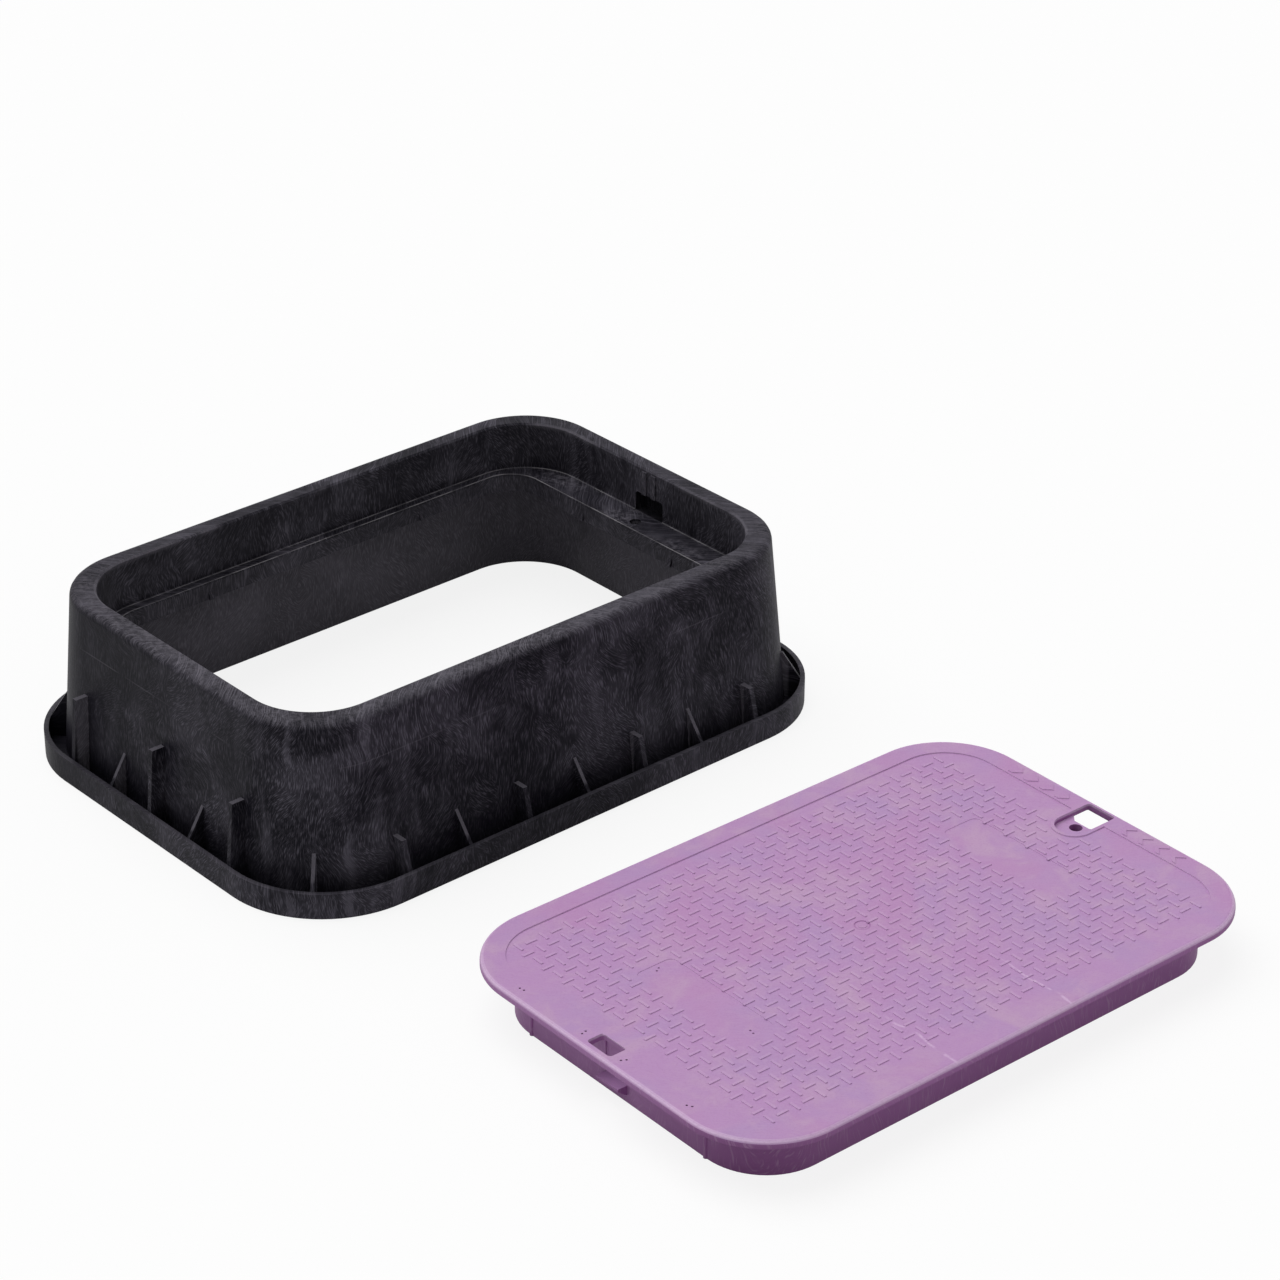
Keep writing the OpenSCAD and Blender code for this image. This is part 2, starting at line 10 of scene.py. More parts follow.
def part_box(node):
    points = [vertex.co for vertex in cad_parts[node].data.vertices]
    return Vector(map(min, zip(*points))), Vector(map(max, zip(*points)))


bl_info = {
    "name": "Valve box finishes",
    "version": (1, 0, 0),
    "blender": (4, 5, 0),
    "location": "3D Viewport > Sidebar > Valve box",
    "description": "Plastic finishes for a valve box and its cover, with a studio",
    "category": "Object",
}

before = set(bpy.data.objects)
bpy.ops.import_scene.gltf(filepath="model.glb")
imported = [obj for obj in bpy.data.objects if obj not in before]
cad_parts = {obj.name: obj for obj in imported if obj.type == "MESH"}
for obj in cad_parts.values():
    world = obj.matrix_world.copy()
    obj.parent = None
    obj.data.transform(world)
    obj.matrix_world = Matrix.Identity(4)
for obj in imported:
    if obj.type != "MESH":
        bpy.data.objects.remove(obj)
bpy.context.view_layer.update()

BODY_LOW, BODY_HIGH = (Vector(corner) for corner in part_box("box_body"))
COVER_LOW, COVER_HIGH = (Vector(corner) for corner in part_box("cover"))
BODY_MIDDLE = (BODY_LOW + BODY_HIGH) / 2
COVER_MIDDLE = (COVER_LOW + COVER_HIGH) / 2
COVER_TURN = radians(-1.4)

# Rounded rectangles of the body, as half length, half width and corner radius
RIM = (0.2605, 0.1735, 0.067)
SEAT = (0.2425, 0.1555, 0.057)
HOLE = (0.216, 0.148, 0.029)
LIP = (0.283, 0.206, 0.09)

# Heights in the body: its ledge, the top of the hook pockets, the line where the mould
# closed, and the top of the foot's lip
LEDGE_Z = 0.1094
POCKET_TOP = 0.1276
CLOSING_Z = 0.115
LIP_TOP = 0.022

# Half width of the hook pockets, and of the strip that holds the two guides over each
POCKET_HALF = 0.018
GUIDE_STRIP = 0.0135

# Height of the cover's flat border as it lies, and how far the plain fields lie below it;
# the lift recess has a ring that stands higher
PLATE_TOP = 0.0468
FIELD_DROP = 0.0014

# Marks of the ejector pins on the cover's top, along its length and width
PIN_MARKS = (
    (-0.2469, 0.0925), (-0.2469, 0.022), (-0.2469, -0.022), (-0.2469, -0.0925),
    (-0.154, 0.0515), (-0.154, -0.0515),
)

# Reach of a mark's small holes round its middle, radius of the faint ring round it, and
# radius of the ring in the middle of the cover
PIN_REACH = 0.0045
PIN_RING = 0.0052
MIDDLE_RING = 0.0058

# Places along the cover of the pale lines in its near half
FLOW_LINES = (-0.068, 0.045)

# Colours that are only shades: inside the hook pockets, at the cover's near end and in
# its pin marks
HOLLOW_BLACK = (0.0, 0.0, 0.0)
END_PURPLE = (0.14, 0.045, 0.14)
PIN_PURPLE = (0.12, 0.035, 0.12)

# Specular level of the two plastics
BODY_GLOSS = 0.05
COVER_GLOSS = 0.2

# The floor as it is seen: a pale paint that takes the shadows, and a glow over it
FLOOR_HALF = 20.0
FLOOR_DROP = 0.0002
FLOOR_PAINT = 0.14
FLOOR_GLOW = 0.855

# Where the two lights come from, and the angle in degrees under which each is seen
KEY_SOURCE = (-0.08, 0.42, 1.0)
FILL_SOURCE = (0.3, -1.0, 0.8)
LIGHT_SPREAD = 60


class Value:
    """A shader socket that Python's operators build Math nodes from."""

    def __init__(self, tree, socket):
        self.tree = tree
        self.socket = socket

    def _math(self, operation, *values):
        node = self.tree.add("ShaderNodeMath", {"operation": operation}, *values)
        return Value(self.tree, node.outputs[0])

    def __add__(self, other):
        return self._math("ADD", self, other)

    __radd__ = __add__

    def __sub__(self, other):
        return self._math("SUBTRACT", self, other)

    def __rsub__(self, other):
        return self._math("SUBTRACT", other, self)

    def __mul__(self, other):
        return self._math("MULTIPLY", self, other)

    __rmul__ = __mul__

    def __truediv__(self, other):
        return self._math("DIVIDE", self, other)

    def __pow__(self, other):
        return self._math("POWER", self, other)

    def __abs__(self):
        return self._math("ABSOLUTE", self)

    def least(self, other):
        return self._math("MINIMUM", self, other)

    def most(self, other):
        return self._math("MAXIMUM", self, other)

    def ramp(self, low, high):
        """0 below low, 1 above high and smooth between; low may be the larger."""
        node = self.tree.add(
            "ShaderNodeMapRange",
            {"interpolation_type": "SMOOTHSTEP"},
            Value=self,
            **{"From Min": low, "From Max": high},
        )
        return Value(self.tree, node.outputs["Result"])

    def near(self, place, reach, core=0.0004):
        """1 within the core's distance of a place, and 0 from the reach on."""
        return abs(self - place).ramp(reach, core)


class Finish:
    """One material or world and its node tree."""

    def __init__(self, owner):
        owner.use_nodes = True
        self.owner = owner
        self.nodes = owner.node_tree.nodes
        self.links = owner.node_tree.links
        self.nodes.clear()

    def add(self, kind, settings=None, *places, **named):
        """Any node: its type, its settings, then its sockets by place or by name."""
        node = self.nodes.new(kind)
        for key, value in (settings or {}).items():
            setattr(node, key, value)
        inputs = list(enumerate(places)) + list(named.items())
        for key, value in inputs:
            socket = node.inputs[key]
            if isinstance(value, Value):
                value = value.socket
            if isinstance(value, bpy.types.NodeSocket):
                self.links.new(value, socket)
            else:
                socket.default_value = value
        return node

    def point(self):
        """The place on the object, in metres from the origin of the frame."""
        return self.add("ShaderNodeTexCoord").outputs["Object"]

    def facing(self):
        """How far the surface faces along X, Y and Z, each from -1 to 1."""
        return self.axes(self.add("ShaderNodeTexCoord").outputs["Normal"])

    def axes(self, vector):
        node = self.add("ShaderNodeSeparateXYZ", None, vector)
        return [Value(self, node.outputs[axis]) for axis in "XYZ"]

    def join(self, x, y, z):
        return self.add("ShaderNodeCombineXYZ", None, x, y, z).outputs[0]

    def vector(self, operation, first, second=None, scale=None):
        named = {}
        if scale is not None:
            named["Scale"] = scale
        places = [first] if second is None else [first, second]
        node = self.add("ShaderNodeVectorMath", {"operation": operation}, *places, **named)
        return node.outputs[0]

    def noise(self, vector, scale, detail=2.0, rough=0.5, swirl=0.0):
        return self.add(
            "ShaderNodeTexNoise",
            None,
            Vector=vector,
            Scale=scale,
            Detail=detail,
            Roughness=rough,
            Distortion=swirl,
        )

    def cloud(self, *words, **named):
        """Cloud noise from 0 to 1 with its middle at a half."""
        return Value(self, self.noise(*words, **named).outputs["Fac"])

    def hairs(self, across, along, seed, width, length):
        """Short streaks that lie along the second of the two distances."""
        place = self.join(across / width, along / length, seed)
        return self.cloud(place, 1.0, detail=1.5, rough=0.55)

    def warp(self, vector, scale, amount, detail=2.0):
        """The same place, pushed about by up to half the amount."""
        push = self.noise(vector, scale, detail).outputs["Color"]
        push = self.vector("SUBTRACT", push, (0.5, 0.5, 0.5))
        push = self.vector("SCALE", push, scale=amount)
        return self.vector("ADD", vector, push)

    def outside(self, x, y, half_x, half_y, radius):
        """Distance outside a rounded rectangle about the middle, and less than 0 inside."""
        across = abs(x) - (half_x - radius)
        along = abs(y) - (half_y - radius)
        corner = (across.most(0) ** 2 + along.most(0) ** 2) ** 0.5
        return corner + across.most(along).least(0) - radius

    def mix(self, factor, first, second):
        """A colour between two colours."""
        node = self.add("ShaderNodeMix", {"data_type": "RGBA"}, Factor=factor)
        for name, value in (("A", first), ("B", second)):
            socket = next(s for s in node.inputs if s.name == name and s.type == "RGBA")
            if isinstance(value, bpy.types.NodeSocket):
                self.links.new(value, socket)
            else:
                socket.default_value = (*value, 1.0)
        return next(s for s in node.outputs if s.type == "RGBA")

    def bump(self, height, strength, distance, normal=None):
        named = {"Height": height, "Strength": strength, "Distance": distance}
        if normal is not None:
            named["Normal"] = normal
        return self.add("ShaderNodeBump", None, **named).outputs["Normal"]

    def rays(self):
        """1 for the rays that the camera, a gloss or a glass sends, and 0 for light."""
        path = self.add("ShaderNodeLightPath")
        kinds = ("Is Camera Ray", "Is Glossy Ray", "Is Transmission Ray")
        camera, glossy, passed = (Value(self, path.outputs[kind]) for kind in kinds)
        return camera.most(glossy).most(passed)

    def finish(self, shader, output="ShaderNodeOutputMaterial"):
        self.add(output, None, Surface=shader)


def plastic(f, colour, rough, normal, gloss):
    shader = f.add(
        "ShaderNodeBsdfPrincipled",
        None,
        Roughness=rough,
        Normal=normal,
        **{"Base Color": colour, "Specular IOR Level": gloss},
    )
    f.finish(shader.outputs[0])


def dress(node_name, material):
    """Gives every slot of a CAD node the same material."""
    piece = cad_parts[node_name]
    if not piece.material_slots:
        piece.data.materials.append(material)
    for slot in piece.material_slots:
        slot.material = material


class BodySettings(bpy.types.PropertyGroup):
    black: FloatVectorProperty(
        name="Black",
        description="Colour of the body's plastic between its swirls",
        subtype="COLOR",
        default=(0.0065, 0.006, 0.0095),
        min=0.0,
        max=1.0,
    )
    grey: FloatVectorProperty(
        name="Swirl grey",
        description="Colour of the pale hairs and swirls in the body's plastic",
        subtype="COLOR",
        default=(0.105, 0.098, 0.122),
        min=0.0,
        max=1.0,
    )
    # Also used for the painted light on the walls inside below the ledge and on the ribs'
    # upper ends
    scuff_and_painted_light: FloatVectorProperty(
        name="Scuff grey",
        description="Colour of the rubbed rim and of scratched edges",
        subtype="COLOR",
        default=(0.152, 0.142, 0.168),
        min=0.0,
        max=1.0,
    )
    # Painted highlight: colour of the light lines along the ledge's edges
    bright: FloatVectorProperty(
        name="Highlight grey",
        description="Colour of the edges of the ledge, where covers have rubbed",
        subtype="COLOR",
        default=(0.6, 0.57, 0.6),
        min=0.0,
        max=1.0,
    )
    cloud_size: FloatProperty(
        name="Cloud size",
        description="Size of the broad clouds in the black plastic",
        default=0.08,
        min=0.02,
        max=0.5,
        unit="LENGTH",
    )
    hair_width: FloatProperty(
        name="Hair width",
        description="Width of the fine flow lines in the black plastic",
        default=0.0008,
        min=0.0005,
        max=0.01,
        unit="LENGTH",
    )
    hair_length: FloatProperty(
        name="Hair length",
        description="Length of the fine flow lines in the black plastic",
        default=0.0075,
        min=0.002,
        max=0.2,
        unit="LENGTH",
    )


class CoverSettings(bpy.types.PropertyGroup):
    purple: FloatVectorProperty(
        name="Purple",
        description="Colour of the cover's plastic",
        subtype="COLOR",
        default=(0.487, 0.279, 0.52),
        min=0.0,
        max=1.0,
    )
    pale: FloatVectorProperty(
        name="Pale swirl",
        description="Colour of the pale greyish swirls in the cover's plastic",
        subtype="COLOR",
        default=(0.525, 0.337, 0.522),
        min=0.0,
        max=1.0,
    )
    deep: FloatVectorProperty(
        name="Deep swirl",
        description="Colour of the strongest pinkish patches",
        subtype="COLOR",
        default=(0.495, 0.262, 0.495),
        min=0.0,
        max=1.0,
    )
    lilac: FloatVectorProperty(
        name="Lilac swirl",
        description="Colour of the bluish patches",
        subtype="COLOR",
        default=(0.448, 0.29, 0.525),
        min=0.0,
        max=1.0,
    )
    # Painted shade: the deeper purple given to the cover's upright faces low down; the
    # grain, dark hairs and middle ring use it too
    side: FloatVectorProperty(
        name="Side purple",
        description="Colour of the unscuffed plastic on the upright faces",
        subtype="COLOR",
        default=(0.32, 0.125, 0.33),
        min=0.0,
        max=1.0,
    )
    # Painted light: the paler purple of the tread's flanks and the bars' upper faces; the
    # pale flow lines use it too
    rubbed: FloatVectorProperty(
        name="Rubbed purple",
        description="Colour of the rubbed edges of the tread's bars",
        subtype="COLOR",
        default=(0.74, 0.54, 0.76),
        min=0.0,
        max=1.0,
    )
    cloud_size: FloatProperty(
        name="Cloud size",
        description="Size of the clouds in the purple plastic",
        default=0.045,
        min=0.01,
        max=0.5,
        unit="LENGTH",
    )


class StudioSettings(bpy.types.PropertyGroup):
    azimuth: FloatProperty(
        name="Camera azimuth",
        description="Angle of the camera round the object",
        subtype="ANGLE",
        default=radians(-41.4151509827258),
    )
    elevation: FloatProperty(
        name="Camera elevation",
        description="Angle of the camera above the floor",
        subtype="ANGLE",
        default=radians(28.640281442989775),
    )
    roll: FloatProperty(
        name="Camera roll",
        description="Turn of the camera about its line of sight",
        subtype="ANGLE",
        default=0.004434407281278634,
    )
    distance: FloatProperty(
        name="Camera distance",
        description="From the camera to the point that it looks at",
        default=3.27391,
        min=0.5,
        unit="LENGTH",
    )
    aim: FloatVectorProperty(
        name="Camera aim",
        description="The point on the floor that the camera looks at",
        subtype="XYZ",
        default=(0.2234, 0.2297, 0.0),
        unit="LENGTH",
    )
    lens: FloatProperty(
        name="Lens",
        description="Focal length for a picture 36 mm across",
        default=106.47,
        min=20.0,
        max=300.0,
        subtype="DISTANCE_CAMERA",
    )
    key: FloatProperty(
        name="Main light",
        description="Strength of the broad light from above",
        default=1.9,
        min=0.0,
    )
    fill: FloatProperty(
        name="Side light",
        description="Strength of the weak light on the near long sides",
        default=0.12,
        min=0.0,
    )
    sky: FloatProperty(
        name="Surrounding light",
        description="Strength of the white that surrounds the object",
        default=0.34,
        min=0.0,
        max=2.0,
    )
    bounce: FloatProperty(
        name="Floor bounce",
        description="Share of the light that the floor throws back",
        default=0.7,
        min=0.0,
        max=1.0,
    )


class ValveBoxSettings(bpy.types.PropertyGroup):
    body: PointerProperty(type=BodySettings)
    cover: PointerProperty(type=CoverSettings)
    studio: PointerProperty(type=StudioSettings)


class VALVEBOX_OT_body_finish(bpy.types.Operator):
    """Black moulded plastic with grey hairs and swirls, a rubbed rim and a scuffed ledge"""

    bl_idname = "valvebox.body_finish"
    bl_label = "Finish the box body"

    def execute(self, context):
        s = context.scene.valve_box.body
        f = Finish(bpy.data.materials.new("black structural foam"))
        local = f.vector("SUBTRACT", f.point(), (BODY_MIDDLE.x, BODY_MIDDLE.y, 0.0))
        x, y, z = f.axes(local)
        face_x, face_y, up = f.facing()

        # Fine hairs, as brushed on: upright on most of the walls, leaning in patches
        drift = f.axes(f.noise(local, 13.0, detail=1.0).outputs["Color"])
        curl = f.axes(f.noise(local, 38.0, detail=1.0).outputs["Color"])
        across = abs(x) - abs(y) + (drift[0] - 0.5) * 0.035 + (curl[0] - 0.5) * 0.009
        along = z + (drift[1] - 0.5) * 0.035
        seed = (x + y) * 20
        size = (s.hair_width, s.hair_length)
        upright = f.hairs(across, along, seed, *size)
        right = f.hairs(across + along * 0.75, along - across * 0.75, seed + 3, *size)
        left = f.hairs(across - along * 0.85, along + across * 0.85, seed + 6, *size)
        patches = f.cloud(local, 16.0, detail=2.0)
        to_right = patches.ramp(0.5, 0.58)
        to_left = patches.ramp(0.45, 0.38)
        hairs = upright * (1 - to_right - to_left) + right * to_right + left * to_left
        lines = hairs.ramp(0.46, 0.7)
        sweeps = f.hairs(across, along, seed * 0.2, 0.012, 0.07).ramp(0.5, 0.72)

        # Clouds under the hairs, paler at the corners; and painted shade: darker at the
        # ends, most of all at the far left, and low down by the foot's groove
        clouds = f.cloud(f.warp(local, 8.0, 0.12), 1 / s.cloud_size, detail=4.0, rough=0.6)
        outer = f.outside(x, y, *RIM).ramp(-0.004, 0.0)
        corner = abs(x).ramp(0.17, 0.24) * abs(y).ramp(0.1, 0.15)
        end = abs(x).ramp(0.25, 0.262) * (1 - corner)
        shade = 0.62 + clouds.ramp(0.38, 0.6) * 0.48 + corner * outer * 0.35
        shade = shade * (1 - end * outer * z.ramp(0.075, 0.12) * 0.3)
        far_left_shade = outer * x.ramp(-0.2, -0.26) * y.ramp(0.0, 0.13)
        shade = shade * (1 - far_left_shade * 0.75)
        foot_groove_shade = f.outside(x, y, *LIP).ramp(0.0015, -0.0015) * outer * z.ramp(0.048, 0.012)
        shade = shade * (1 - foot_groove_shade * 0.7)
        sweeps = sweeps * (0.18 + corner * 0.24)
        tone = (lines * 0.72 + clouds.ramp(0.38, 0.66) * 0.24 + sweeps) * shade
        colour = f.mix(tone.least(1.0), tuple(s.black), tuple(s.grey))

        grain = f.cloud(local, 800.0, detail=3.0, rough=0.72)
        pitted = f.cloud(f.warp(local, 60.0, 0.012), 210.0, detail=4.0, rough=0.68)
        worn = f.cloud(local, 22.0, detail=3.0)
        speckle = grain.ramp(0.36, 0.66) * 0.3 + pitted.ramp(0.4, 0.66) * 0.45 + lines * 0.5

        # The rim is rubbed grey, most of all at the end where the box is dragged
        rim = z.ramp(BODY_HIGH.z - 0.0055, BODY_HIGH.z - 0.0008)
        used = 0.16 + (x + y * 1.4).ramp(0.22, -0.3) * 0.72
        rim_rub = rim * speckle * used * (0.55 + worn.ramp(0.3, 0.6) * 0.5)
        wall = f.outside(x, y, *SEAT)
        inner_edge = rim * wall.near(0.0006, 0.0016) * worn.ramp(0.42, 0.6)

        # The ledge is scraped by covers and bolts; its edges get painted highlight lines
        on_ledge = z.near(LEDGE_Z, 0.0012)
        ledge = on_ledge * up.ramp(0.5, 0.9)
        used_end = (x.ramp(0.18, 0.22) * abs(y).ramp(0.15, 0.1)).most(0.25)
        ledge_rub = ledge * used_end * pitted.ramp(0.4, 0.7) * worn.ramp(0.38, 0.62)
        hole = f.outside(x, y, *HOLE)
        patchy = 0.35 + f.cloud(local, 45.0, detail=2.0).ramp(0.4, 0.6) * 0.65
        beside_pocket = abs(y).ramp(POCKET_HALF - 0.0008, POCKET_HALF)
        # Painted highlight: light lines along the hole's edge and the wall's foot on the
        # ledge
        edges = hole.near(0, 0.0012) + wall.near(0, 0.0012) * beside_pocket * 0.8
        edges = on_ledge * edges
        guide = abs(y).ramp(GUIDE_STRIP, GUIDE_STRIP - 0.0005) * abs(x).ramp(0.2385, 0.239)
        guide = guide * (z.ramp(0.12, 0.124) * wall.ramp(0.0002, -0.0003))

        # The foot's lip is rubbed on top, and a faint line shows where the mould closed
        lip = z.ramp(LIP_TOP - 0.0012, LIP_TOP - 0.0002)
        lip = lip * z.ramp(LIP_TOP + 0.0025, LIP_TOP + 0.0012)
        lip_rub = lip * up.ramp(0.4, 0.9) * (0.35 + worn.ramp(0.4, 0.6) * 0.4)
        closing = outer * z.near(CLOSING_Z, 0.0008, 0.0002) * worn.ramp(0.45, 0.62)

        # All the rubbed places together with the seat over the ledge, and painted light on
        # the walls inside below the ledge and on the ribs' upper ends
        rub_and_painted_light = rim_rub + inner_edge * 0.5 + ledge_rub * 0.6
        rub_and_painted_light = rub_and_painted_light + guide * speckle * 0.5 + lip_rub * 0.35 + closing * 0.25
        # Painted light: the walls inside below the ledge are lightened, as by light thrown
        # up from the floor
        inward = (face_x * x + face_y * y).ramp(-0.01, -0.04)
        below = inward * f.outside(x, y, *RIM).ramp(0.019, 0.016)
        below = below * z.ramp(LEDGE_Z - 0.001, LEDGE_Z - 0.003)
        below = below * (0.4 + hole.ramp(0.001, 0.005) * 0.7)
        rub_and_painted_light = rub_and_painted_light + below * (0.38 + lines * 0.45 + clouds.ramp(0.4, 0.6) * 0.1)
        # Painted highlight on the up-facing ends of the ribs
        rib_top_highlight = outer * up.ramp(0.25, 0.6) * z.ramp(0.026, 0.03) * z.ramp(0.1, 0.08)
        rub_and_painted_light = rub_and_painted_light + rib_top_highlight * 0.6
        seat = wall.ramp(0.004, 0.002) * z.ramp(LEDGE_Z + 0.001, LEDGE_Z + 0.003) * (1 - rim)
        rub_and_painted_light = rub_and_painted_light + seat * (0.05 + lines * 0.1)
        colour = f.mix(rub_and_painted_light.least(1.0), colour, tuple(s.scuff_and_painted_light))
        # Painted highlights on the ledge's edges
        colour = f.mix((edges * patchy).least(1.0), colour, tuple(s.bright))

        # Painted shade: the hook pockets are darkened inside
        pocket_shade = wall.ramp(0.0002, 0.001) * wall.ramp(0.012, 0.01) * (1 - beside_pocket)
        pocket_shade = pocket_shade * z.ramp(POCKET_TOP + 0.0014, POCKET_TOP + 0.0002)
        pocket_shade = pocket_shade * z.ramp(LEDGE_Z - 0.001, LEDGE_Z) * abs(x).ramp(0.23, 0.24)
        colour = f.mix(pocket_shade * 0.75, colour, HOLLOW_BLACK)

        rough = 0.46 + tone * 0.12 + rim * 0.12 + (grain - 0.5) * 0.14
        normal = f.bump(hairs, 0.35, 0.0006)
        normal = f.bump(grain * (0.4 + rim) + pitted * rim, 0.4, 0.0004, normal)
        plastic(f, colour, rough, normal, BODY_GLOSS)
        dress("box_body", f.owner)
        return {"FINISHED"}


class VALVEBOX_OT_cover_finish(bpy.types.Operator):
    """Purple moulded plastic, mottled by pale, pinkish and bluish swirls"""

    bl_idname = "valvebox.cover_finish"
    bl_label = "Finish the cover"

    def execute(self, context):
        s = context.scene.valve_box.cover
        f = Finish(bpy.data.materials.new("purple structural foam"))
        local = f.vector("SUBTRACT", f.point(), (COVER_MIDDLE.x, COVER_MIDDLE.y, 0.0))
        about_z = {"rotation_type": "Z_AXIS"}
        turned = f.add("ShaderNodeVectorRotate", about_z, Vector=local, Angle=-COVER_TURN)
        local = turned.outputs[0]
        x, y, z = f.axes(local)
        face_x, face_y, up = f.facing()

        # Swirls, clouds and wisps, each a little nearer to one of the colours
        scale = 1 / s.cloud_size
        curled = f.warp(f.warp(local, 6.0, 0.07), 26.0, 0.018)
        clouds = f.cloud(curled, scale, detail=4.0, rough=0.62, swirl=0.5)
        patches = f.cloud(f.vector("ADD", curled, (3.0, 1.0, 0.0)), scale * 0.55, detail=3.0)
        tints = f.cloud(f.vector("ADD", curled, (7.0, 5.0, 0.0)), scale * 0.8, detail=3.0)
        wisps = f.cloud(f.vector("MULTIPLY", curled, (0.6, 1.5, 1.0)), 90.0, detail=4.0)

        colour = f.mix(tints.ramp(0.42, 0.66) * 0.6, tuple(s.purple), tuple(s.lilac))
        colour = f.mix(patches.ramp(0.46, 0.66) * 0.75, colour, tuple(s.deep))
        pale = (clouds.ramp(0.46, 0.68) * 0.8 + wisps.ramp(0.5, 0.75) * 0.3).least(1.0)
        colour = f.mix(pale, colour, tuple(s.pale))

        # Painted light on the flanks on top, and painted shade below: a deeper purple on the
        # upright faces of the edge, the skirt and the tongue
        low = z.ramp(PLATE_TOP - 0.0012, PLATE_TOP - 0.003)
        rubbed = up.ramp(0.98, 0.8) * (0.72 + abs(face_x) * 0.28 - face_y.most(0) * 0.3)
        colour = f.mix(rubbed * (1 - low), colour, tuple(s.rubbed))
        colour = f.mix(up.ramp(0.35, 0.1) * low, colour, tuple(s.side))
        # Painted shade: darker still at the near corner of the skirt
        near_corner_shade = (x.ramp(-0.1, -0.25) * y.ramp(-0.04, -0.14)) * up.ramp(0.35, 0.1) * low
        colour = f.mix(near_corner_shade * 0.45, colour, END_PURPLE)
        # Painted light: up-facing faces low down, such as the tongue's top, are lifted back
        # to plain purple
        tongue = up.ramp(0.5, 0.9) * z.ramp(0.036, 0.032)
        colour = f.mix(tongue * 0.8, colour, tuple(s.purple))
        # Painted light: the far part of the short skirt is lifted back towards purple
        short_skirt_light = face_x.ramp(-0.6, -0.95) * low * y.ramp(-0.14, 0.0)
        colour = f.mix(short_skirt_light * 0.35, colour, tuple(s.purple))

        # Painted highlight: the bars' upper faces are a little paler than the panel
        bar_top_highlight = z.ramp(PLATE_TOP - 0.0007, PLATE_TOP - 0.0005)
        bar_top_highlight = bar_top_highlight * z.ramp(PLATE_TOP - 0.0001, PLATE_TOP - 0.0002) * up.ramp(0.7, 0.95)
        colour = f.mix(bar_top_highlight * 0.16, colour, tuple(s.rubbed))

        # Dark ejector marks with faint rings round them, and a ring in the middle
        rings = 0
        pins = 0
        for mark_x, mark_y in PIN_MARKS:
            reach = ((x - mark_x) ** 2 + (y - mark_y) ** 2) ** 0.5
            rings = rings + reach.near(PIN_RING, 0.0009, 0.0003)
            pins = pins + reach.ramp(PIN_REACH, PIN_REACH - 0.0005)
        # The marks in the sunk field are counted from the border's height like the others
        level = z + x.ramp(-0.21, -0.2) * FIELD_DROP
        sunk = level.ramp(PLATE_TOP - 0.0001, PLATE_TOP - 0.0004)
        colour = f.mix(pins * sunk * 0.8, colour, PIN_PURPLE)
        top = up.ramp(0.7, 0.95)
        colour = f.mix(rings * top * 0.3, colour, tuple(s.pale))
        middle = (x ** 2 + y ** 2) ** 0.5
        colour = f.mix(middle.near(MIDDLE_RING, 0.0011) * 0.5, colour, tuple(s.side))

        # Pale lines where the plastic closed between the ribs below
        flows = 0
        wander = (f.cloud(local, 30.0, detail=3.0) - 0.5) * 0.012
        for line_x in FLOW_LINES:
            flows = flows + (x + wander).near(line_x, 0.0017, 0.0003)
        flows = flows * y.ramp(-0.085, -0.12) * wisps.ramp(0.36, 0.54) * top
        colour = f.mix(flows * 0.55, colour, tuple(s.rubbed))

        # Grain like a fine sand, and fine hairs that lean with the swirls
        grain = f.cloud(local, 620.0, detail=3.0, rough=0.7)
        colour = f.mix(grain.ramp(0.45, 0.75) * 0.22, colour, tuple(s.side))
        bent_x, bent_y, bent_z = f.axes(f.warp(local, 14.0, 0.04))
        hairs = f.hairs(bent_x + bent_y, bent_x - bent_y + bent_z, 1.0, 0.0011, 0.016)
        colour = f.mix(hairs.ramp(0.52, 0.7) * 0.3, colour, tuple(s.pale))
        colour = f.mix(hairs.ramp(0.45, 0.3) * 0.12, colour, tuple(s.side))

        rough = 0.52 + (clouds - 0.5) * 0.2 + (grain - 0.5) * 0.12
        normal = f.bump(grain, 0.3, 0.0003)
        plastic(f, colour, rough, normal, COVER_GLOSS)
        dress("cover", f.owner)
        return {"FINISHED"}


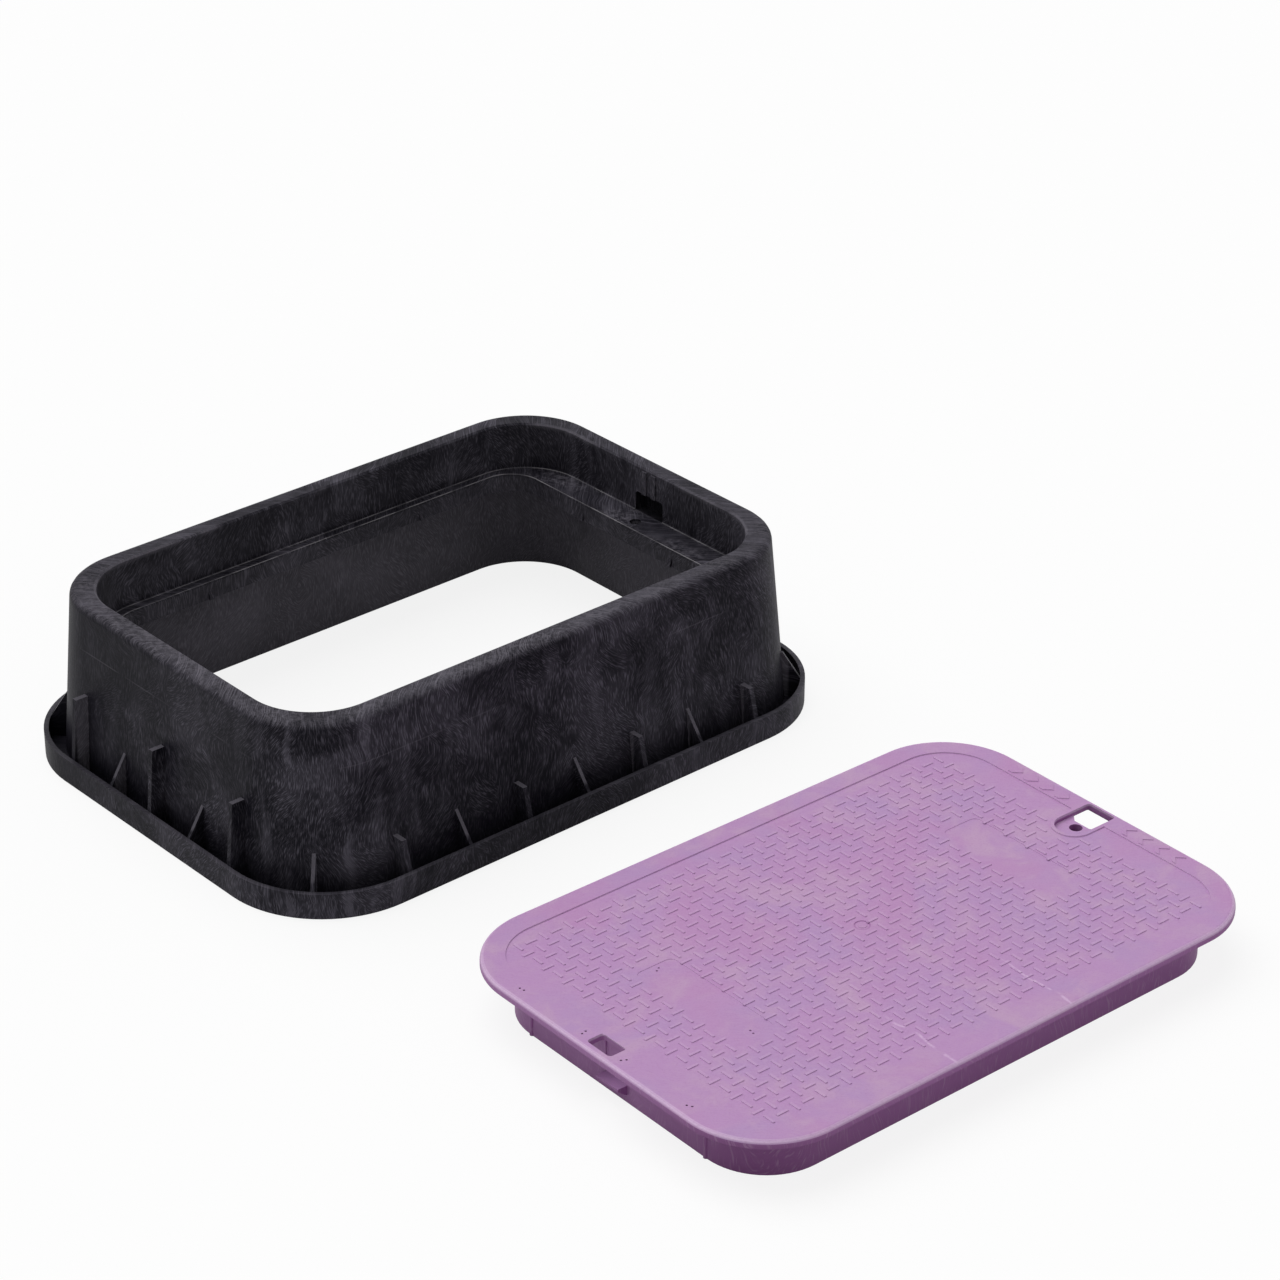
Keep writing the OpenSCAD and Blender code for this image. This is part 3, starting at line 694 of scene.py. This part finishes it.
class VALVEBOX_OT_studio(bpy.types.Operator):
    """White floor, soft light and the camera"""

    bl_idname = "valvebox.studio"
    bl_label = "Set up the studio"

    def execute(self, context):
        s = context.scene.valve_box.studio
        self.floor(context, s.bounce)
        self.sky(context, s.sky)
        self.light(context, "main light", s.key, KEY_SOURCE)
        self.light(context, "side light", s.fill, FILL_SOURCE)
        self.camera(context, s)
        context.scene.view_settings.view_transform = "Standard"
        return {"FINISHED"}

    def floor(self, context, bounce):
        mesh = bpy.data.meshes.new("floor")
        half = FLOOR_HALF
        corners = [(-half, -half, 0), (half, -half, 0), (half, half, 0), (-half, half, 0)]
        mesh.from_pydata(corners, [], [(0, 1, 2, 3)])
        floor = bpy.data.objects.new("floor", mesh)
        context.scene.collection.objects.link(floor)
        floor.location.z = -FLOOR_DROP
        f = Finish(bpy.data.materials.new("white floor"))
        thrown, shown = (
            f.add("ShaderNodeBsdfDiffuse", None, Color=(share, share, share, 1.0)).outputs[0]
            for share in (bounce, FLOOR_PAINT)
        )
        glow = f.add("ShaderNodeEmission", None, Color=(1, 1, 1, 1), Strength=FLOOR_GLOW)
        both = f.add("ShaderNodeAddShader", None, shown, glow.outputs[0])
        mixed = f.add("ShaderNodeMixShader", None, f.rays(), thrown, both.outputs[0])
        f.finish(mixed.outputs[0])
        mesh.materials.append(f.owner)

    def sky(self, context, strength):
        world = bpy.data.worlds.new("white surround")
        context.scene.world = world
        f = Finish(world)
        lit, seen = (
            f.add("ShaderNodeBackground", None, Color=(1, 1, 1, 1), Strength=value)
            for value in (strength, 1.0)
        )
        mixed = f.add("ShaderNodeMixShader", None, f.rays(), lit.outputs[0], seen.outputs[0])
        f.finish(mixed.outputs[0], "ShaderNodeOutputWorld")

    def light(self, context, name, strength, source):
        """A soft light, as from a large round screen far off."""
        light = bpy.data.lights.new(name, "SUN")
        light.energy = strength
        light.angle = radians(LIGHT_SPREAD)
        lamp = bpy.data.objects.new(name, light)
        lamp.rotation_mode = "QUATERNION"
        lamp.rotation_quaternion = Vector(source).to_track_quat("Z", "Y")
        lamp.location = Vector(source) * 2
        context.scene.collection.objects.link(lamp)

    def camera(self, context, s):
        a, e = s.azimuth, s.elevation
        back = Vector((sin(a) * cos(e), -cos(a) * cos(e), sin(e)))
        right = Vector((cos(a), sin(a), 0.0))
        up = back.cross(right)
        turned_right = cos(s.roll) * right + sin(s.roll) * up
        turned_up = cos(s.roll) * up - sin(s.roll) * right
        matrix = Matrix((turned_right, turned_up, back)).transposed().to_4x4()
        matrix.translation = Vector(s.aim) + back * s.distance
        data = bpy.data.cameras.new("camera")
        data.lens = s.lens
        data.sensor_width = 36.0
        data.clip_start = 0.05
        camera = bpy.data.objects.new("camera", data)
        camera.matrix_world = matrix
        context.scene.collection.objects.link(camera)
        context.scene.camera = camera


class VALVEBOX_PT_panel(bpy.types.Panel):
    """Sizes, colours and steps of the valve box's finishes"""

    bl_idname = "VALVEBOX_PT_panel"
    bl_label = "Valve box"
    bl_space_type = "VIEW_3D"
    bl_region_type = "UI"
    bl_category = "Valve box"

    def draw(self, context):
        settings = context.scene.valve_box
        for group, operator in (
            (settings.body, VALVEBOX_OT_body_finish),
            (settings.cover, VALVEBOX_OT_cover_finish),
            (settings.studio, VALVEBOX_OT_studio),
        ):
            column = self.layout.column()
            for name in group.__annotations__:
                column.prop(group, name)
            column.operator(operator.bl_idname)


CLASSES = (
    BodySettings,
    CoverSettings,
    StudioSettings,
    ValveBoxSettings,
    VALVEBOX_OT_body_finish,
    VALVEBOX_OT_cover_finish,
    VALVEBOX_OT_studio,
    VALVEBOX_PT_panel,
)


def register():
    for cls in CLASSES:
        bpy.utils.register_class(cls)
    bpy.types.Scene.valve_box = PointerProperty(type=ValveBoxSettings)


def unregister():
    del bpy.types.Scene.valve_box
    for cls in reversed(CLASSES):
        bpy.utils.unregister_class(cls)


def main():
    register()
    bpy.ops.valvebox.body_finish()
    bpy.ops.valvebox.cover_finish()
    bpy.ops.valvebox.studio()
    bpy.context.view_layer.update()


if __name__ == "__main__":
    main()
